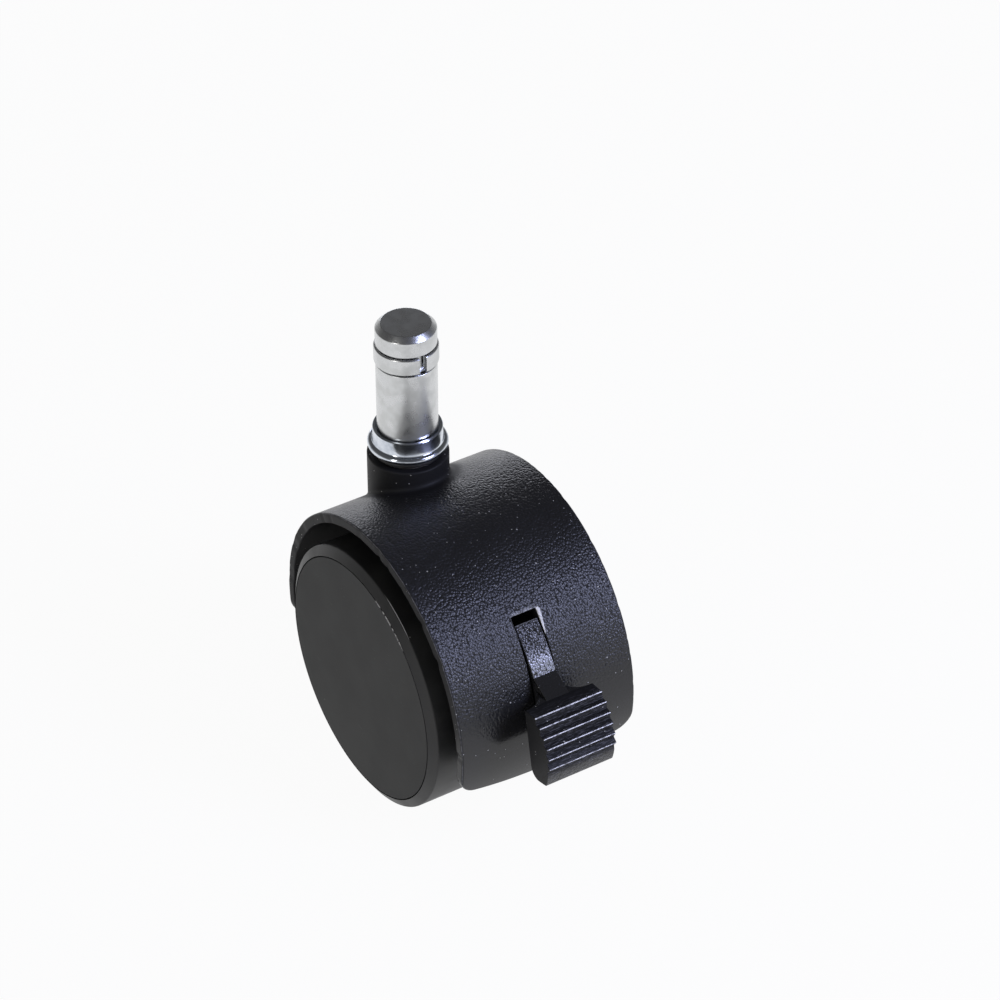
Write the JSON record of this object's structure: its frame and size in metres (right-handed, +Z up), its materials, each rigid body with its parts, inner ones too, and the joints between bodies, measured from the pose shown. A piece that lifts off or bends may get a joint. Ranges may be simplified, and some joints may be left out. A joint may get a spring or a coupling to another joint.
{
  "type": "chair caster wheel",
  "caption": "Hooded twin-wheel chair caster with a push-in grip-ring stem, a swivelling hood, free-turning capped wheels and a ribbed foot brake lever.",
  "frame": {"origin": "on the swivel axis at the collar's top face, where the chair foot rests on the caster", "axes": "+Z up along the stem, +X from the swivel axis towards the axle and the brake lever, +Y along the axle to the left wheel"},
  "size_m": [0.0715, 0.0414, 0.085],
  "materials": {
    "zinc_steel": "satin",
    "bright_plating": "polished",
    "grained_plastic": "leather grain",
    "wheel_plastic": "smooth",
    "cap_plastic": "satin",
    "natural_nylon": "as moulded",
    "black_nylon": "as moulded"
  },
  "bodies": {
    "stem": {"stem": "zinc_steel", "grip_ring": "zinc_steel", "stem_collar": "bright_plating", "stem_retaining_ring": "zinc_steel"},
    "hood": {"hood": "grained_plastic", "swivel_bush": "natural_nylon", "thrust_washer": "black_nylon", "axle": "zinc_steel", "wheel_washer_left": "zinc_steel", "wheel_washer_right": "zinc_steel", "axle_retainer_left": "zinc_steel", "axle_retainer_right": "zinc_steel", "brake_pivot_pin": "zinc_steel"},
    "left_wheel": {"wheel_left": "wheel_plastic", "hub_cap_left": "cap_plastic", "wheel_bush_left": "natural_nylon"},
    "right_wheel": {"wheel_right": "wheel_plastic", "hub_cap_right": "cap_plastic", "wheel_bush_right": "natural_nylon"},
    "brake": {"brake_lever": "grained_plastic", "brake_bar": "zinc_steel"}
  },
  "joints": [
    {"name": "swivel", "type": "hinge", "parent": "stem", "child": "hood", "pos_m": [0, 0, 0], "axis": [0, 0, 1], "continuous": true},
    {"name": "left_wheel_turn", "type": "hinge", "parent": "hood", "child": "left_wheel", "pos_m": [0.0166, 0, -0.03801], "axis": [0, 1, 0], "continuous": true},
    {"name": "right_wheel_turn", "type": "hinge", "parent": "hood", "child": "right_wheel", "pos_m": [0.0166, 0, -0.03801], "axis": [0, 1, 0], "continuous": true},
    {"name": "brake_press", "type": "hinge", "parent": "hood", "child": "brake", "pos_m": [0.03709, 0, -0.0255], "axis": [0, 1, 0], "range_deg": [0, 9.6]}
  ]
}
